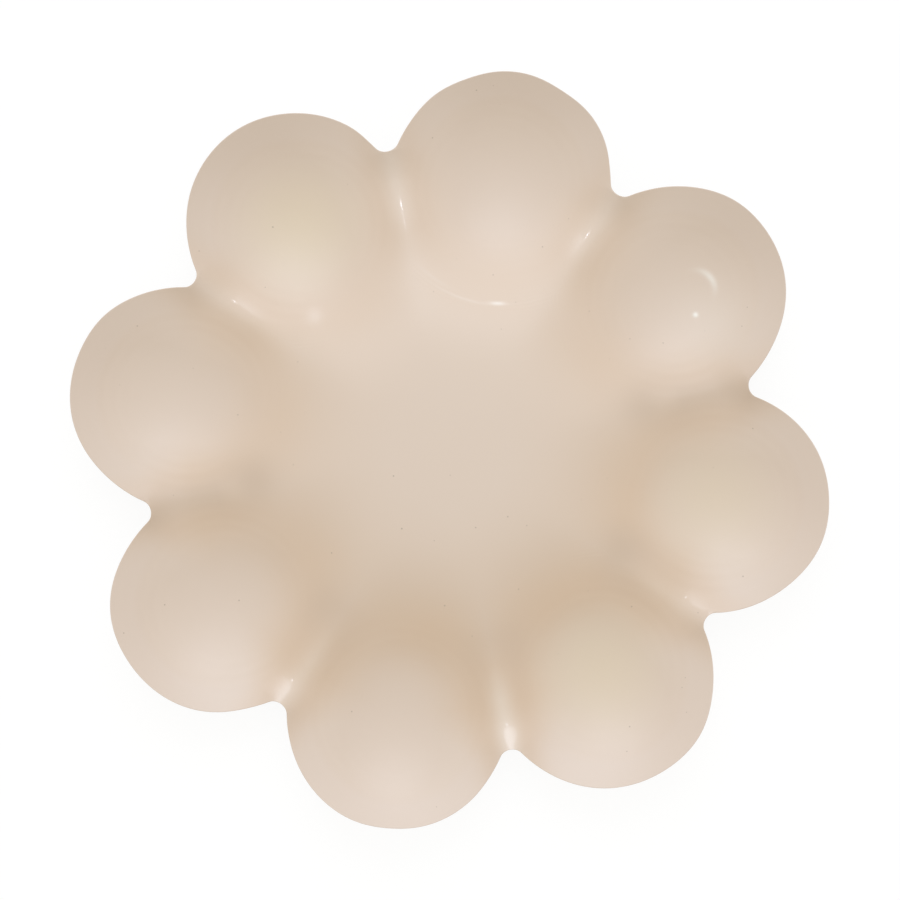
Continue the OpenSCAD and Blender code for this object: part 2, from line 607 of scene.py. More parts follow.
class ShellTree(TreeBuilder):
    """Node tree that raises a flat plan into a closed shell with the platter's face and underside."""

    STEP = 0.04
    WOBBLE_WAVES = 26.0

    def __init__(self, sizes: PlatterSizes, relief: ReliefSizes) -> None:
        """Build the tree.

        Args:
            sizes: The platter's plan.
            relief: The shell's heights and slopes.
        """
        self.relief = relief
        self.face = FaceTree(sizes, relief).tree
        inputs = [
            ("Plan", "NodeSocketGeometry", None),
            *relief.inputs(),
            ("Glaze", "NodeSocketMaterial", None),
            ("Foot Clay", "NodeSocketMaterial", None),
        ]
        super().__init__("Platter Shell", inputs, [("Shell", "NodeSocketGeometry")])
        self._build()

    def face_at(self, place: Socket, shift: Span) -> Node:
        """Read the face a small step away from each point.

        Args:
            place: The points.
            shift: The step along X and along Y, in millimetres.

        Returns:
            A node that gives the face there.
        """
        moved = self.add("ShaderNodeVectorMath", {}, operation="ADD")
        plug(self.tree, place, moved.inputs[0])
        plug(self.tree, (shift[0] * MM, shift[1] * MM, 0.0), moved.inputs[1])
        inputs = {name: self.size(name) for name, _, _ in self.relief.inputs()}
        return self.add("GeometryNodeGroup", {"Position": moved.outputs[0], **inputs}, node_tree=self.face)

    def slopes(self, place: Socket) -> List[List[Term]]:
        """Measure how steeply the height and the distance from the outline change at each point.

        Args:
            place: The points.

        Returns:
            For each of the two, its change along X and along Y.
        """
        found: List[List[Term]] = [[] for _ in FaceTree.SHAPE]
        for shift in ((self.STEP, 0.0), (0.0, self.STEP)):
            ahead = self.face_at(place, shift)
            behind = self.face_at(place, (-shift[0], -shift[1]))
            for name, changes in zip(FaceTree.SHAPE, found):
                change = Term(self.tree, ahead.outputs[name]) - Term(self.tree, behind.outputs[name])
                changes.append(change / (2 * self.STEP))
        return found

    def closed_plan(self) -> Socket:
        """Close the plan into a box one metre high, so that its upper sheet can be told from its lower one.

        Returns:
            The box.
        """
        plan = self.source.outputs["Plan"]
        upwards = {"Mesh": plan, "Offset": (0.0, 0.0, 1.0), "Offset Scale": 1.0, "Individual": False}
        raised = self.add("GeometryNodeExtrudeMesh", upwards, mode="FACES")
        under = self.add("GeometryNodeFlipFaces", {"Mesh": plan})
        both = self.add("GeometryNodeJoinGeometry", {})
        for sheet in (raised, under):
            plug(self.tree, sheet.outputs["Mesh"], both.inputs[0])
        merged = self.add("GeometryNodeMergeByDistance", {"Geometry": both.outputs[0], "Distance": TINY})
        return merged.outputs[0]

    def keep(self, shell: Socket, mark: Mark, value: object) -> Socket:
        """Store an attribute on the points.

        Args:
            shell: The geometry.
            mark: Which attribute.
            value: Its value at each point.

        Returns:
            The geometry with the attribute.
        """
        inputs = {"Geometry": shell, "Name": mark.value, "Value": value}
        node = self.add("GeometryNodeStoreNamedAttribute", inputs, data_type=mark.kind, domain="POINT")
        return node.outputs[0]

    def read(self, mark: Mark) -> Socket:
        """Return a stored attribute."""
        node = self.add("GeometryNodeInputNamedAttribute", {"Name": mark.value}, data_type=mark.kind)
        return node.outputs["Attribute"]

    def combine(self, x: Number, y: Number, z: Number) -> Socket:
        """Return a vector from three numbers."""
        return self.add("ShaderNodeCombineXYZ", {"X": x, "Y": y, "Z": z}).outputs[0]

    @staticmethod
    def rounding(distance: Term, radius: Term) -> Tuple[Term, Term, Term]:
        """Round an edge.

        Args:
            distance: Distance inwards from the edge.
            radius: Radius of the rounding.

        Returns:
            How far the face falls away, and the sine and cosine of its lean outwards.
        """
        lean = ((radius - distance) / radius).clamp()
        level = (1.0 - lean * lean).most(0.0).math("SQRT")
        return radius - radius * level, lean, level

    def hand_moved(self, x: Term, y: Term) -> List[Term]:
        """Move the points as the potter's hand did, by presses and by a slow wobble.

        Args:
            x: X of each point in metres.
            y: Y of each point.

        Returns:
            The new X and Y.
        """
        hand = self.noise(self.combine(x, y, 0.0), self.WOBBLE_WAVES, 0.0)
        waves = split(self.tree, hand.outputs["Color"])
        presses = split(self.tree, self.read(Mark.SHIFT))
        wobble = self.size("Hand Wobble") * (2.0 * MM)
        return [axis + press + (wave - 0.5) * wobble for axis, press, wave in zip((x, y), presses, waves)]

    def dressed(self, shell: Socket) -> Socket:
        """Shade the shell by the face's own normals and lay its two finishes on it.

        Args:
            shell: The shell in its final shape.

        Returns:
            The finished shell.
        """
        smooth = self.add("GeometryNodeSetShadeSmooth", {"Geometry": shell, "Shade Smooth": True})
        inputs = {"Mesh": smooth.outputs[0], "Custom Normal": self.read(Mark.NORMAL)}
        shell = self.add("GeometryNodeSetMeshNormal", inputs, mode="FREE", domain="POINT").outputs[0]
        for mark in (Mark.NORMAL, Mark.SHIFT):
            inputs = {"Geometry": shell, "Name": mark.value}
            shell = self.add("GeometryNodeRemoveAttribute", inputs).outputs[0]
        shell = self.add("GeometryNodeRealizeInstances", {"Geometry": shell}).outputs[0]
        on_foot = Term(self.tree, self.read(Mark.FOOT)).math("GREATER_THAN", 0.5)
        for finish, where in (("Glaze", True), ("Foot Clay", on_foot)):
            inputs = {"Geometry": shell, "Selection": where, "Material": self.source.outputs[finish]}
            shell = self.add("GeometryNodeSetMaterial", inputs).outputs[0]
        return shell

    def _build(self) -> None:
        """Lay out the tree's nodes."""
        shell = self.closed_plan()
        place = self.add("GeometryNodeInputPosition", {}).outputs[0]
        x, y, sheet = split(self.tree, place)
        upper = sheet.math("GREATER_THAN", 0.5)
        here = self.face_at(place, (0.0, 0.0)).outputs
        height, edge = [Term(self.tree, here[name]) for name in FaceTree.SHAPE]
        (slope_x, slope_y), (out_x, out_y) = self.slopes(place)
        stretch = (slope_x * slope_x + slope_y * slope_y + 1.0).math("SQRT")
        below = height - self.size("Wall") * stretch
        foot = below.math("LESS_THAN", 0.0) * (1.0 - upper)
        edge = edge.most(0.0)
        lip_drop, lip_lean, lip_level = self.rounding(edge, self.size("Lip Round"))
        under_rise, under_lean, under_level = self.rounding(edge, self.size("Under Round"))
        z = upper.between((below + under_rise).most(0.0), height - lip_drop)
        lean = upper.between(under_lean, lip_lean)
        level = upper.between(under_level, lip_level) / stretch * (upper * 2.0 - 1.0)
        steep = level * (1.0 - foot)
        normal = self.combine(-(slope_x * steep) - out_x * lean, -(slope_y * steep) - out_y * lean, level)
        values = {mark: here[name] for mark, name in FaceTree.MARKS.items()}
        values.update({Mark.UPPER: upper, Mark.FOOT: foot, Mark.NORMAL: normal})
        for mark, value in values.items():
            shell = self.keep(shell, mark, value)
        moved = self.combine(*self.hand_moved(x, y), z * MM)
        placed = self.add("GeometryNodeSetPosition", {"Geometry": shell, "Position": moved})
        self.emit("Shell", self.dressed(placed.outputs[0]))

    def raise_plan(self, name: str, plan: "Plan", glaze: Material, clay: Material) -> Thing:
        """Raise a flat plan into a finished piece.

        Args:
            name: The piece's name.
            plan: The piece's plan.
            glaze: Finish of the whole piece.
            clay: Finish of its foot.

        Returns:
            The piece as a plain mesh at the origin.
        """
        flat = plan.mesh(f"{name}_plan")
        flat.materials.append(glaze)
        flat.materials.append(clay)
        carrier = new_thing(f"{name}_plan", flat)
        modifier = carrier.modifiers.new("shell", "NODES")
        modifier.node_group = self.tree
        values = {label: value for label, _, value in self.relief.inputs()}
        values.update({"Glaze": glaze, "Foot Clay": clay})
        for item in self.tree.interface.items_tree:
            if item.in_out == "INPUT" and item.name in values:
                modifier[item.identifier] = values[item.name]
        graph = bpy.context.evaluated_depsgraph_get()
        mesh = bpy.data.meshes.new_from_object(carrier.evaluated_get(graph), depsgraph=graph)
        mesh.name = name
        piece = new_thing(name, mesh)
        carrier.modifiers.remove(modifier)
        bpy.data.objects.remove(carrier)
        bpy.data.meshes.remove(flat)
        return piece


@dataclass
class Plan:
    """A flat sheet of one piece, in millimetres.

    Args:
        points: X and Y of each point.
        faces: Corner numbers of each face, anticlockwise.

    Its tint says how yellow the glaze lies at each point, and its shift how far the potter's hand moved it.
    """

    points: np.ndarray
    faces: List[Tuple[int, ...]]
    tint: np.ndarray = field(init=False)
    shift: np.ndarray = field(init=False)

    def __post_init__(self) -> None:
        """Start without tint or shift."""
        self.tint = np.zeros(len(self.points))
        self.shift = np.zeros((len(self.points), 3))

    @classmethod
    def polar(cls, centre: Span, bearings: np.ndarray, rims: np.ndarray, step: float) -> "Plan":
        """Lay rings of points about a centre, close together at the rim.

        Args:
            centre: Where the rings stand.
            bearings: Direction of each spoke.
            rims: Length of each spoke.
            step: Distance between rings away from the rim.

        Returns:
            The sheet.
        """
        inside = rims - RIM_ROWS[0]
        count = int(round(inside.max() / step))
        lengths = [share * inside for share in np.arange(1, count) / count]
        lengths += [rims - row for row in RIM_ROWS]
        spokes = np.stack([np.cos(bearings), np.sin(bearings)], axis=1)
        rings = [np.asarray(centre) + spokes * reach[:, None] for reach in lengths]
        around = len(bearings)
        faces: List[Tuple[int, ...]] = [(0, 1 + k, 1 + (k + 1) % around) for k in range(around)]
        for ring in range(len(lengths) - 1):
            low = 1 + ring * around
            high = low + around
            for k in range(around):
                after = (k + 1) % around
                faces.append((low + k, high + k, high + after, low + after))
        return cls(np.concatenate([np.asarray(centre)[None, :], *rings]), faces)

    @classmethod
    def strip(cls, starts: np.ndarray, ends: np.ndarray, across: np.ndarray, shares: np.ndarray) -> "Plan":
        """Lay rows of points along X.

        Args:
            starts: Where each row starts.
            ends: Where each row ends.
            across: Y of each row.
            shares: Place of each point along its row, from 0 to 1.

        Returns:
            The sheet.
        """
        wide = len(shares)
        rows = [
            np.stack([start + (end - start) * shares, np.full(wide, y)], axis=1)
            for start, end, y in zip(starts, ends, across)
        ]
        faces: List[Tuple[int, ...]] = []
        for row in range(len(rows) - 1):
            low = row * wide
            for k in range(low, low + wide - 1):
                faces.append((k, k + 1, k + wide + 1, k + wide))
        return cls(np.concatenate(rows), faces)

    def turn(self, angle: float) -> "Plan":
        """Turn the sheet about the platter's centre.

        Args:
            angle: How far, anticlockwise.

        Returns:
            The same sheet.
        """
        cosine, sine = math.cos(angle), math.sin(angle)
        self.points = self.points @ np.array([[cosine, sine], [-sine, cosine]])
        return self

    def mesh(self, name: str) -> bpy.types.Mesh:
        """Make a mesh in metres that carries the tint and the shift.

        Args:
            name: Its name.

        Returns:
            The mesh.
        """
        flat = bpy.data.meshes.new(name)
        flat.from_pydata([(x * MM, y * MM, 0.0) for x, y in self.points], [], self.faces)
        for mark, key, values in ((Mark.TINT, "value", self.tint), (Mark.SHIFT, "vector", self.shift * MM)):
            layer = flat.attributes.new(mark.value, mark.kind, "POINT")
            layer.data.foreach_set(key, values.astype(np.float32).ravel())
        return flat


@dataclass(frozen=True)
class Press:
    """A place on the outline that the potter's hand pushed in or drew out.

    Args:
        well: Number of the well, from 1.
        bearing: Direction from the well's axis in degrees, measured from outwards.
        depth: How far the outline moves out, in millimetres, or in if it is negative.
        width: Reach of the push in millimetres.
    """

    well: int
    bearing: float
    depth: float
    width: float

    def shift(self, sizes: PlatterSizes, points: np.ndarray) -> np.ndarray:
        """Return how far the push moves some points along X, Y and Z.

        Args:
            sizes: The platter's plan.
            points: X and Y of each point.

        Returns:
            A move for each point.
        """
        axis = (self.well - 1) * sizes.pitch
        lean = axis + math.radians(self.bearing)
        out = np.array([math.cos(lean), math.sin(lean)])
        spot = sizes.ring_r * np.array([math.cos(axis), math.sin(axis)]) + sizes.lobe_r * out
        share = np.exp(-0.5 * np.sum((points - spot) ** 2, axis=1) / self.width**2)
        return np.outer(share * self.depth, np.append(out, 0.0))


PRESSES = (
    Press(1, -40.0, -0.7, 13.0),
    Press(1, 12.0, -0.3, 9.0),
    Press(2, -55.0, -1.1, 15.0),
    Press(2, 25.0, 0.4, 9.0),
    Press(3, -22.0, -0.8, 7.0),
    Press(3, 30.0, -0.65, 7.0),
    Press(3, 65.0, -0.4, 8.0),
    Press(3, -75.0, -0.9, 7.0),
    Press(4, -78.0, -0.8, 5.0),
    Press(5, -35.0, 0.5, 8.0),
    Press(5, 58.0, -0.8, 13.0),
    Press(6, -28.0, 0.8, 12.0),
    Press(6, 70.0, -0.9, 10.0),
    Press(7, 5.0, -0.55, 8.0),
    Press(7, 70.0, -0.7, 9.0),
    Press(8, 24.0, 0.75, 9.0),
)


@dataclass
class Platter:
    """The platter's seventeen pieces and the plans that they are raised from."""

    sizes: PlatterSizes = field(default_factory=PlatterSizes)
    relief: ReliefSizes = field(default_factory=ReliefSizes)
    presses: Tuple[Press, ...] = PRESSES
    tints: Dict[int, float] = field(default_factory=lambda: {1: 0.7, 4: 1.0, 8: 0.9})
    tint_reach: float = 30.0
    step: float = 0.85
    ridge_step: float = 0.6
    ridge_margin: float = 3.0
    ridge_rows: int = 21
    seam_points: int = 46
    tongue_points: int = 9

    def spread(self, low: float, high: float, run: float) -> np.ndarray:
        """Return evenly spread angles, the first one included and the last one left out.

        Args:
            low: First angle.
            high: Last angle.
            run: Length between them along the outline, in millimetres.

        Returns:
            The angles.
        """
        return np.linspace(low, high, int(round(run / self.step)), endpoint=False)

    def well_plan(self, index: int) -> Plan:
        """Return the plan of a well: round outside, the seam inside and flat at both ridges.

        Args:
            index: Number of the well, from 1.

        Returns:
            The sheet in its place.
        """
        s = self.sizes
        flat = s.half_chord - s.web_half
        normal = math.pi / 2 + s.half_pitch
        outer = normal - math.acos(flat / s.lobe_r)
        inner = normal + math.acos(flat / s.seam_r)
        flat_run = math.sqrt(s.lobe_r**2 - flat**2) + math.sqrt(s.seam_r**2 - flat**2)
        turn = math.tau
        runs = [
            self.spread(-outer, outer, s.lobe_r * 2 * outer),
            self.spread(outer, inner, flat_run),
            self.spread(inner, turn - inner, s.seam_r * (turn - 2 * inner)),
            self.spread(turn - inner, turn - outer, flat_run),
        ]
        bearings = np.concatenate(runs)
        folded = np.where(bearings > math.pi, turn - bearings, np.abs(bearings))
        to_flat = flat / np.cos(folded - normal)
        rims = np.where(folded < inner - TINY, to_flat, s.seam_r)
        rims = np.where(folded <= outer + TINY, s.lobe_r, rims)
        plan = Plan.polar((s.ring_r, 0.0), bearings, rims, self.step)
        away = np.hypot(plan.points[:, 0] - s.ring_r, plan.points[:, 1]) / self.tint_reach
        plan.tint = self.tints.get(index, 0.0) * np.clip(1.0 - away**2, 0.0, 1.0) ** 2
        return plan.turn((index - 1) * s.pitch)

    def ridge_plan(self, index: int) -> Plan:
        """Return the plan of a ridge: a strip that ends in the round of its notch.

        Args:
            index: Number of the ridge, from 1.

        Returns:
            The sheet in its place.
        """
        s = self.sizes
        across = np.linspace(-s.web_half, s.web_half, self.ridge_rows)
        ends = s.notch_mid - np.sqrt(np.maximum(s.notch_r**2 - across**2, 0.0))
        starts = np.full(len(across), s.web_in)
        run = float(ends.max() - s.web_in)
        rows = np.arange(0.0, run - self.ridge_margin, self.ridge_step)
        plan = Plan.strip(starts, ends, across, np.concatenate([rows, run - RIM_ROWS]) / run)
        return plan.turn((index - 0.5) * s.pitch)

    def centre_plan(self) -> Plan:
        """Return the plan of the centre plate: eight seam arcs with a short tongue between each two.

        Returns:
            The sheet.
        """
        s = self.sizes
        corner = math.atan2(s.web_half, s.corner_in)
        tip = math.atan2(s.web_half, s.web_in)
        seam = np.linspace(-s.half_pitch + corner, s.half_pitch - corner, self.seam_points)
        reach = s.ring_r * np.cos(seam) - np.sqrt(s.seam_r**2 - (s.ring_r * np.sin(seam)) ** 2)
        tongue = np.linspace(-tip, tip, self.tongue_points)
        bearings = []
        for index in range(s.well_count):
            axis = index * s.pitch
            bearings += [axis + seam, axis + s.half_pitch + tongue]
        rims = [reach, s.web_in / np.cos(tongue)] * s.well_count
        return Plan.polar((0.0, 0.0), np.concatenate(bearings), np.concatenate(rims), self.step)

    def build(self, glaze: Material, clay: Material) -> None:
        """Raise every piece and set it on the platter's body.

        Args:
            glaze: Finish of every piece.
            clay: Finish of the feet.
        """
        shell = ShellTree(self.sizes, self.relief)
        plans = [(PieceKind.CENTRE.value, self.centre_plan())]
        for kind, draw in ((PieceKind.WELL, self.well_plan), (PieceKind.RIDGE, self.ridge_plan)):
            plans += [(f"{kind.value}_{k}", draw(k)) for k in range(1, self.sizes.well_count + 1)]
        for node, plan in plans:
            plan.shift = sum(press.shift(self.sizes, plan.points) for press in self.presses)
            piece = shell.raise_plan(f"glazed_{node}", plan, glaze, clay)
            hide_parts(node)
            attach(piece, "root")
            LOG.info("%s: %d faces", piece.name, len(piece.data.polygons))


class SurfaceGroups:
    """Shader node groups that the glaze and the bare clay share."""

    SPECK_SPREAD = (0.5, 1.2)
    DRIFT_DETAIL = 3.0
    RIPPLE_DETAIL = 2.0

    def __init__(self) -> None:
        """Build the groups."""
        self.specks = self._specks()
        self.unevenness = self._unevenness()

    def _specks(self) -> Tree:
        """Build the group that scatters iron specks and pinholes as a mask.

        Returns:
            The group.
        """
        inputs = [
            ("Place", "NodeSocketVector", None),
            ("Cells", "NodeSocketFloat", 170.0),
            ("Reach", "NodeSocketFloat", 0.05),
            ("Share", "NodeSocketFloat", 0.6),
        ]
        tree, source, sink = new_tree("Kiln Specks", "ShaderNodeTree", inputs, [("Mask", "NodeSocketFloat")])
        scatter = {"Vector": source.outputs["Place"], "Scale": source.outputs["Cells"], "Randomness": 1.0}
        cells = add_node(tree, "ShaderNodeTexVoronoi", scatter, feature="F1")
        pick = add_node(tree, "ShaderNodeSeparateColor", {"Color": cells.outputs["Color"]})
        reach = Term(tree, source.outputs["Reach"]) * Term(tree, pick.outputs[1]).between(*self.SPECK_SPREAD)
        near = (1.0 - Term(tree, cells.outputs["Distance"]) / reach).clamp()
        chosen = Term(tree, pick.outputs[0]).math("LESS_THAN", Term(tree, source.outputs["Share"]))
        plug(tree, near.math("SQRT") * chosen, sink.inputs["Mask"])
        return tree

    def _unevenness(self) -> Tree:
        """Build the group that gives slow drifts of tone and a fine ripple.

        Returns:
            The group.
        """
        inputs = [
            ("Place", "NodeSocketVector", None),
            ("Drift Scale", "NodeSocketFloat", 24.0),
            ("Ripple Scale", "NodeSocketFloat", 420.0),
        ]
        outputs = [("Drift", "NodeSocketFloat"), ("Ripple", "NodeSocketFloat")]
        tree, source, sink = new_tree("Hand Unevenness", "ShaderNodeTree", inputs, outputs)
        for name, detail in (("Drift", self.DRIFT_DETAIL), ("Ripple", self.RIPPLE_DETAIL)):
            scale = source.outputs[f"{name} Scale"]
            waves = {"Vector": source.outputs["Place"], "Scale": scale, "Detail": detail}
            plug(tree, add_node(tree, "ShaderNodeTexNoise", waves).outputs[0], sink.inputs[name])
        return tree


@dataclass(frozen=True)
class Layer:
    """One tone of a finish: its colour, and how far it covers the tones below where its mask is full."""

    colour: Colour
    share: float = 1.0


class Finish:
    """What every finish of the platter has in common."""

    @staticmethod
    def begin(name: str) -> Tuple[Material, Tree, Node, Socket]:
        """Start a material.

        Args:
            name: Its name.

        Returns:
            The material, its tree, its shader and its Object coordinates.
        """
        material = bpy.data.materials.new(name)
        material.use_nodes = True
        tree = material.node_tree
        place = add_node(tree, "ShaderNodeTexCoord", {}).outputs["Object"]
        return material, tree, find_node(tree, "BSDF_PRINCIPLED"), place

    @staticmethod
    def mark(tree: Tree, mark: Mark) -> Term:
        """Return a point attribute of the piece as a term."""
        node = add_node(tree, "ShaderNodeAttribute", {}, attribute_type="GEOMETRY", attribute_name=mark.value)
        return Term(tree, node.outputs["Fac"])

    @staticmethod
    def paint(tree: Tree, body: Colour, layers: Sequence[Tuple[Layer, Term]]) -> Socket:
        """Lay tones over a colour.

        Args:
            tree: The material's tree.
            body: The lowest colour.
            layers: Each further tone and its mask, from the lowest up.

        Returns:
            The mixed colour.
        """
        colour: object = (*body, 1.0)
        for layer, mask in layers:
            mix = add_node(tree, "ShaderNodeMix", {}, data_type="RGBA", clamp_factor=True)
            plug(tree, mask * layer.share, mix.inputs[0])
            plug(tree, colour, mix.inputs[6])
            plug(tree, (*layer.colour, 1.0), mix.inputs[7])
            colour = mix.outputs[2]
        return colour


@dataclass(frozen=True)
class Drip:
    """A drop of thick glaze that dried proud of the face, or a curved run of it.

    Args:
        x: X of its middle, or of the middle of the curve that it follows, in millimetres.
        y: Y of that place.
        width: Half its width.
        height: How far it stands proud.
        gloss: How far it has the gloss of thick glaze.
        white: How far it is painted white, a painted highlight that stands for its glint.
        curve: Radius of the curve, 0 for a drop.
        bearing: Direction of its middle along the curve, in degrees.
        run: Half the length of the curve in degrees.
    """

    x: float
    y: float
    width: float
    height: float
    gloss: float = 1.0
    white: float = 0.0
    curve: float = 0.0
    bearing: float = 0.0
    run: float = 0.0

    def share(self, x: Term, y: Term) -> Term:
        """Return 1 at the middle of the drip, falling off to 0 around it.

        Args:
            x: X of each point in millimetres.
            y: Y of each point.

        Returns:
            The share.
        """
        along = x - self.x
        across = y - self.y
        away = length(along, across)
        if self.curve == 0.0:
            return away.bell(0.0, self.width)
        lean = math.radians(self.bearing)
        side = along * -math.sin(lean) + across * math.cos(lean)
        front = along * math.cos(lean) + across * math.sin(lean)
        turn = side.math("ARCTAN2", front)
        return away.bell(self.curve, self.width) * turn.bell(0.0, math.radians(self.run))


# Drops in well 2 and on the plate-side slopes of wells 3 and 4. Their white is painted highlight; the broad
# flat one in well 2 is only a painted whitish sheen, with no height or gloss.
DRIPS = (
    Drip(73.0, 70.7, width=0.75, height=0.06, gloss=0.8, white=0.55, curve=7.3, bearing=50.0, run=26.0),
    Drip(75.2, 62.6, width=0.6, height=0.08, white=1.0),
    Drip(80.8, 62.8, width=9.0, height=0.0, gloss=0.0, white=0.12),
    Drip(-54.9, 36.5, width=1.9, height=0.03, gloss=0.25, white=0.06),
    Drip(0.0, 93.5, width=0.35, height=0.01, gloss=0.08, white=0.06, curve=40.0, bearing=-114.5, run=7.0),
    Drip(0.0, 93.5, width=0.35, height=0.01, gloss=0.1, white=0.08, curve=41.9, bearing=-97.0, run=9.0),
    Drip(0.0, 93.5, width=0.45, height=0.04, gloss=0.3, white=0.5, curve=41.4, bearing=-81.0, run=2.4),
)
# Warm brown of the slopes' own tone, also used as painted shade on the slopes and at the plate's edge.
WARM_TINT_AND_SHADE = (0.648, 0.498, 0.376)
# Brown of the painted shade on the ridges.
RIDGE_SHADE_BROWN = (0.545, 0.425, 0.33)
# White of the painted highlights on the crests and the drips.
HIGHLIGHT_WHITE = (0.86, 0.83, 0.79)


@dataclass(frozen=True)
class CreamGlaze(Finish):
    """Cream glaze over pale clay: satin on the face, glossy on the crests and in drips, warmer on the slopes.

    The layers are named from the lowest up. The bells, ramps and spans after them say where each shows, by
    one measure: reach from the platter's centre, distance or bearing from a well's axis, distance aside from
    a ridge, the slow drift of the glaze, or the direction towards the lights. A place lies up towards that
    direction, a ridge lies along it or across it, and the north flank of a ridge faces it. Lengths are in
    millimetres.

    The warmer slopes are partly the glaze's own tone and partly painted shade. The ring at the plate's edge,
    the bands beside the ridges and the dark bands on the ridges that lie across the light are painted shade,
    stronger away from the lights. The white band on the crests of the ridges that lie along the light and the
    white of the drips are painted highlights.
    """

    body: Colour = (0.664, 0.551, 0.47)
    pale: Layer = Layer((0.675, 0.565, 0.485))
    # Painted shade: the plate darkens in a ring near its edge, where it rolls into the wells, more on the
    # side away from the lights.
    thin: Layer = Layer(WARM_TINT_AND_SHADE, 0.3)
    # Partly the glaze's warmer tone on the slopes down from the plate into the wells, partly painted shade:
    # it is stronger away from the lights.
    flow: Layer = Layer(WARM_TINT_AND_SHADE)
    # Painted shade: darker bands a little way out on both sides of each ridge, stronger away from the lights.
    flank: Layer = Layer((0.61, 0.465, 0.35))
    # Painted shade: a dark band on the side of a ridge towards the lights, along its inner part (inner) and
    # near its notch (outer), on the ridges that lie across the light and, for the inner band, more weakly on
    # the far side.
    inner: Layer = Layer(RIDGE_SHADE_BROWN, 0.9)
    outer: Layer = Layer(RIDGE_SHADE_BROWN, 0.85)
    # Painted highlight: a white band on the outer crests of the ridges that lie along the light, stronger on
    # the ridges away from the lights.
    bright: Layer = Layer(HIGHLIGHT_WHITE, 0.15)
    rim: Layer = Layer((0.67, 0.565, 0.498), 0.5)
    yellow: Layer = Layer((0.68, 0.575, 0.44), 0.8)
    # Painted highlights: the white of the drips, which stands for their glints and, in well 2, for a whitish
    # sheen.
    white: Layer = Layer(HIGHLIGHT_WHITE)
    speck: Layer = Layer((0.26, 0.20, 0.15), 0.7)
    # Direction towards the lights, up the picture. The ramp after it rises away from the lights and
    # strengthens the painted shade there.
    toward_light_x: float = -0.19
    toward_light_y: float = 0.98
    shade_side_run: Ramp = Ramp(163.2, -76.8)
    pale_drift: Ramp = Ramp(0.35, 0.975)
    plate_shade_start: Ramp = Ramp(20.0, 42.0)
    plate_shade_end: Ramp = Ramp(64.0, 54.0)
    slope_shade_distance: Bell = Bell(31.0, 10.0)
    slope_shade_bearing: Ramp = Ramp(0.35, -0.275)
    slope_shade_drift: Span = (0.6, 1.4)
    flank_aside: Bell = Bell(7.0, 4.0)
    flank_reach: Ramp = Ramp(61.0, 78.0)
    flank_run: Span = (0.2, 0.6)
    inner_reach: Bell = Bell(70.0, 7.0)
    inner_north: Bell = Bell(5.0, 7.0)
    inner_aside: Bell = Bell(0.0, 10.0)
    inner_up: Ramp = Ramp(0.5, 0.2)
    inner_lie: Span = (1.0, 0.5)
    outer_reach: Ramp = Ramp(74.0, 82.0)
    outer_north: Bell = Bell(2.0, 4.2)
    outer_aside: Bell = Bell(0.0, 8.0)
    outer_lie: Ramp = Ramp(0.3, 0.05)
    crest_reach: Ramp = Ramp(76.0, 88.0)
    crest_aside: Bell = Bell(0.0, 2.8)
    crest_lie: Ramp = Ramp(0.1, 0.3)
    bright_lie: Ramp = Ramp(0.6, 0.9)
    bright_up: Span = (1.0, 0.5)
    rim_distance: Ramp = Ramp(28.5, 31.5)
    rim_bearing: Ramp = Ramp(0.1, 0.6)
    patch_drift: Ramp = Ramp(1 / 3, 0.75)
    arc_distance: Bell = Bell(41.8, 0.55)
    groove_distance: Bell = Bell(42.0, 1.6)
    groove_waves: float = 4.5
    groove_depth: float = 0.01
    ripple_depth: float = 0.005
    crest_coat: float = 0.45
    arc_coat: float = 0.15
    satin: float = 0.5
    satin_drift: float = 0.06
    gloss: float = 0.13
    gloss_ior: float = 1.8
    shine: float = 1.0
    drips: Tuple[Drip, ...] = DRIPS

    def material(self, groups: SurfaceGroups) -> Material:
        """Build the material.

        Args:
            groups: The shared shader groups.

        Returns:
            The material.
        """
        material, tree, shader, place = self.begin("cream_glaze")
        uneven = add_node(tree, "ShaderNodeGroup", {"Place": place}, node_tree=groups.unevenness)
        specks = add_node(tree, "ShaderNodeGroup", {"Place": place}, node_tree=groups.specks)
        drift = Term(tree, uneven.outputs["Drift"])
        distance = self.mark(tree, Mark.DISTANCE)
        x, y = [axis / MM for axis in split(tree, place)[:2]]
        # white: the painted highlights of the drips.
        pooled, white, drops = self.pools(x, y, self.mark(tree, Mark.UPPER))
        layers, crest = self.tones(tree, x, y, drift)
        layers += [(self.white, white), (self.speck, Term(tree, specks.outputs["Mask"]))]
        patchy = self.patch_drift.of(drift)
        arcs = self.arc_distance.of(distance) * self.mark(tree, Mark.SHOULDER).clamp() * patchy
        grooves = (distance * self.groove_waves).math("SINE") * self.groove_distance.of(distance) * patchy
        ripple = Term(tree, uneven.outputs["Ripple"])
        relief = ripple * self.ripple_depth + grooves * self.groove_depth + drops
        bump = add_node(tree, "ShaderNodeBump", {"Strength": 1.0, "Distance": MM, "Height": relief})
        values = {
            "Base Color": self.paint(tree, self.body, layers),
            "Roughness": (drift - 0.5) * self.satin_drift + self.satin,
            "Specular IOR Level": self.shine,
            "Coat Weight": (crest * self.crest_coat + arcs * self.arc_coat + pooled).clamp(),
            "Coat Roughness": self.gloss,
            "Coat IOR": self.gloss_ior,
            "Normal": bump.outputs[0],
        }
        for name, value in values.items():
            plug(tree, value, shader.inputs[name])
        return material

